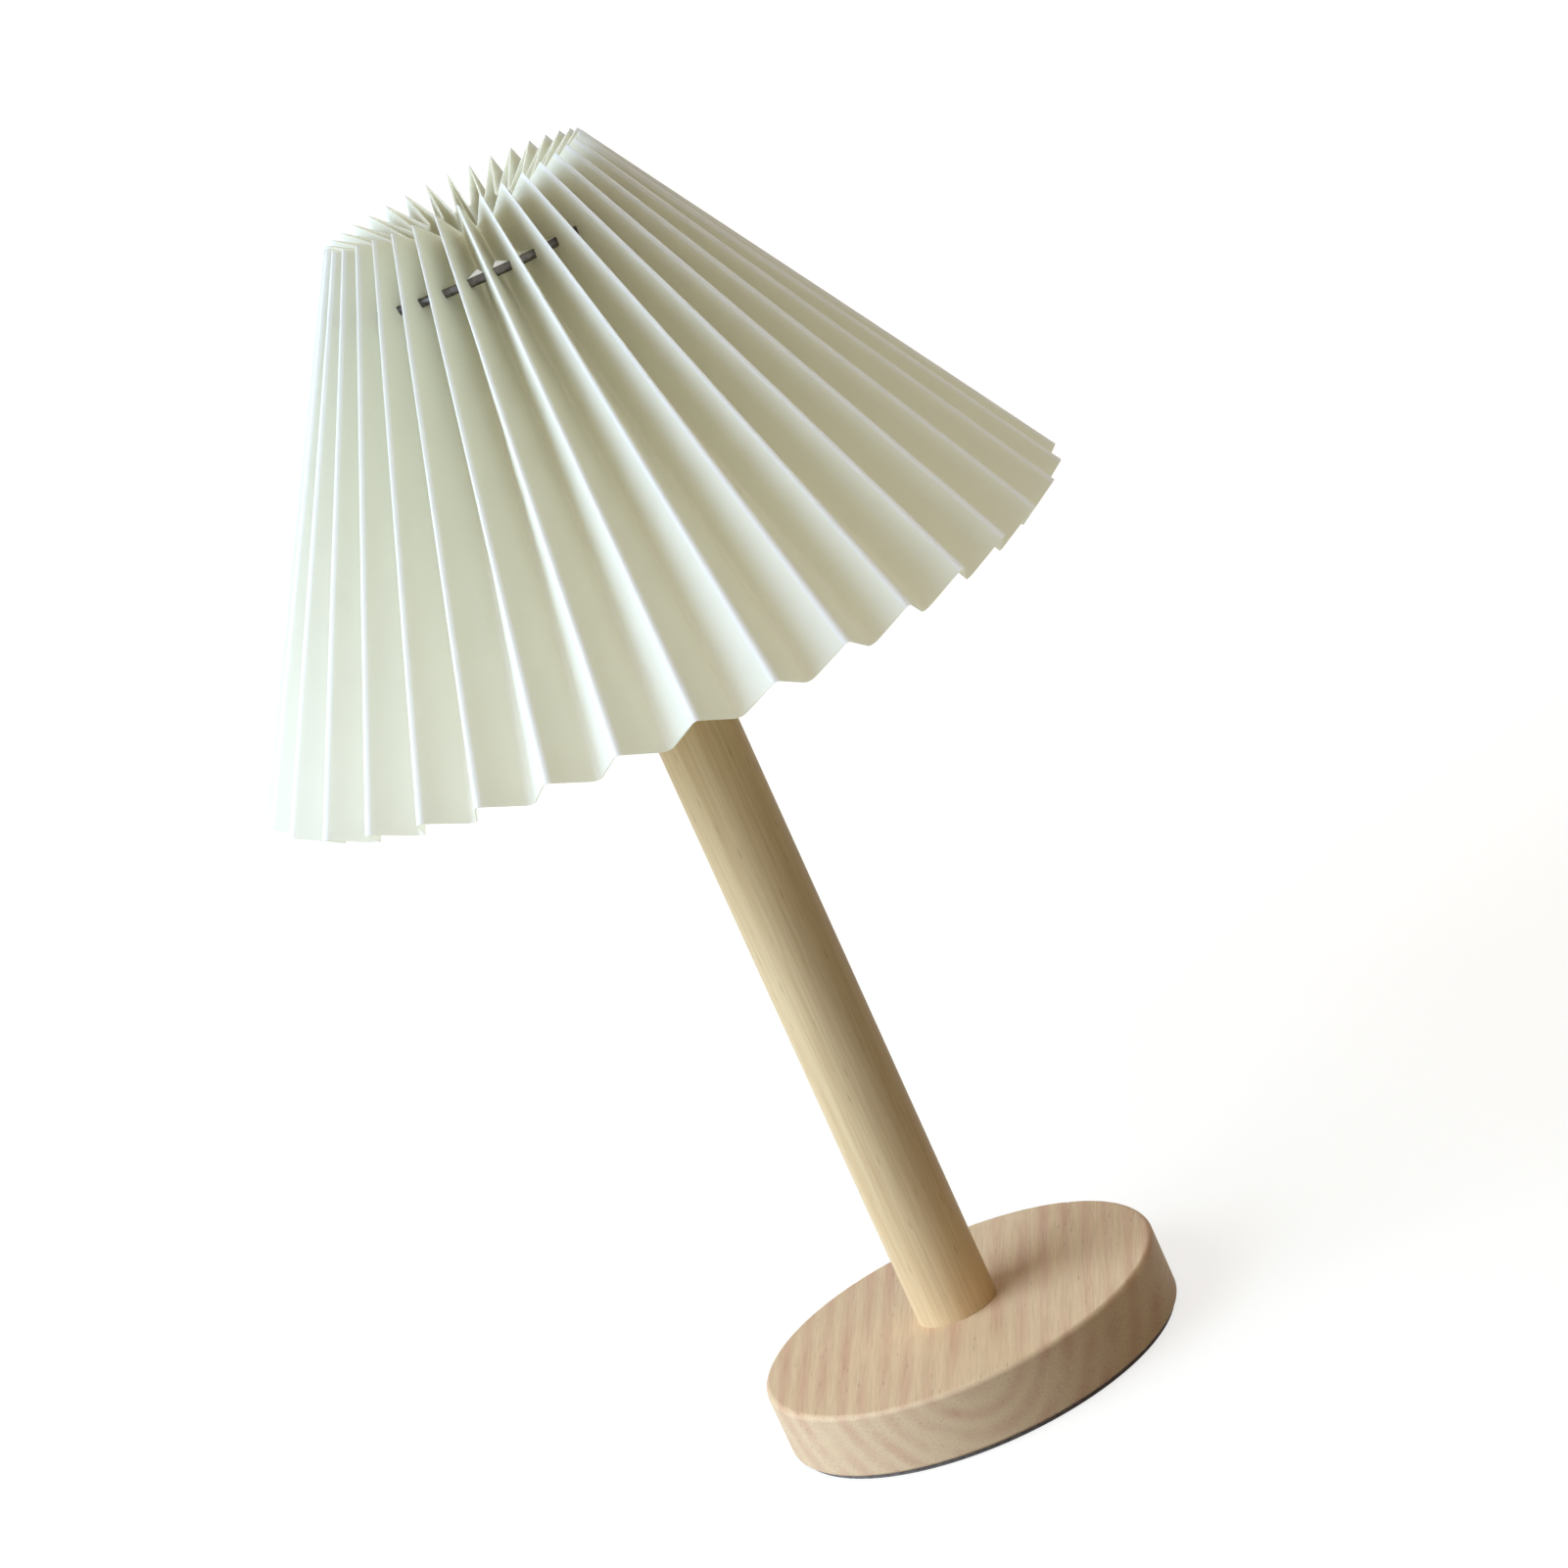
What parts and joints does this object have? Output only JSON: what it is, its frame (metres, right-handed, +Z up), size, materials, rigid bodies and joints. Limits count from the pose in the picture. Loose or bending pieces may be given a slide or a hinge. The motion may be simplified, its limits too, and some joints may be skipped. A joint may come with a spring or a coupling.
{
  "type": "pleated paper table lamp",
  "caption": "Table lamp with a conical accordion-pleated paper shade on a wire hoop, a round wooden stem and a round wooden base.",
  "frame": {"origin": "centre of the underside of the base pad, on the table", "axes": "+Z up along the stem, -Y towards the front, +Y towards the cable inlet"},
  "size_m": [0.25, 0.25, 0.3824],
  "materials": {
    "pad_foam": "matte",
    "base_wood": "satin",
    "stem_wood": "satin",
    "grommet_rubber": "matte",
    "zinc_steel": "satin",
    "holder_plastic": "satin",
    "insert_plastic": "matte",
    "socket_brass": "satin",
    "carrier_steel": "satin",
    "shade_paper": "matte",
    "cap_aluminium": "satin",
    "insulator_black": "gloss",
    "bulb_plastic": "satin",
    "led_board": "satin",
    "globe_opal": "satin"
  },
  "bodies": {
    "base": {"base_pad": "pad_foam", "base_disc": "base_wood", "cable_grommet": "grommet_rubber", "stem": "stem_wood", "threaded_tube": "zinc_steel", "base_washer": "zinc_steel", "lock_washer": "zinc_steel", "base_nut": "zinc_steel", "stem_washer": "zinc_steel", "stem_nut": "zinc_steel", "holder_dome": "holder_plastic", "holder_lock_screw": "zinc_steel", "holder_skirt": "holder_plastic", "holder_insert": "insert_plastic", "screw_shell": "socket_brass", "centre_contact": "socket_brass", "terminal_plates": "socket_brass", "terminal_screws": "zinc_steel"},
    "shade": {"carrier_hub": "carrier_steel", "carrier_arms": "carrier_steel", "shade_hoop": "carrier_steel", "pleated_shade": "shade_paper"},
    "clamp_ring": {"clamp_ring": "holder_plastic"},
    "bulb": {"bulb_cap": "cap_aluminium", "bulb_insulator": "insulator_black", "bulb_contact": "socket_brass", "bulb_body": "bulb_plastic", "bulb_led_board": "led_board", "bulb_globe": "globe_opal"}
  },
  "joints": [
    {"name": "shade_turn", "type": "hinge", "parent": "base", "child": "shade", "pos_m": [0, 0, 0.27605], "axis": [0, 0, 1], "continuous": true},
    {"name": "clamp_ring_turn", "type": "hinge", "parent": "base", "child": "clamp_ring", "pos_m": [0, 0, 0.2771], "axis": [0, 0, 1], "range_deg": [0, 360]},
    {"name": "bulb_out", "type": "slide", "parent": "base", "child": "bulb", "axis": [0, 0, 1], "range_m": [0, 0.03]}
  ]
}
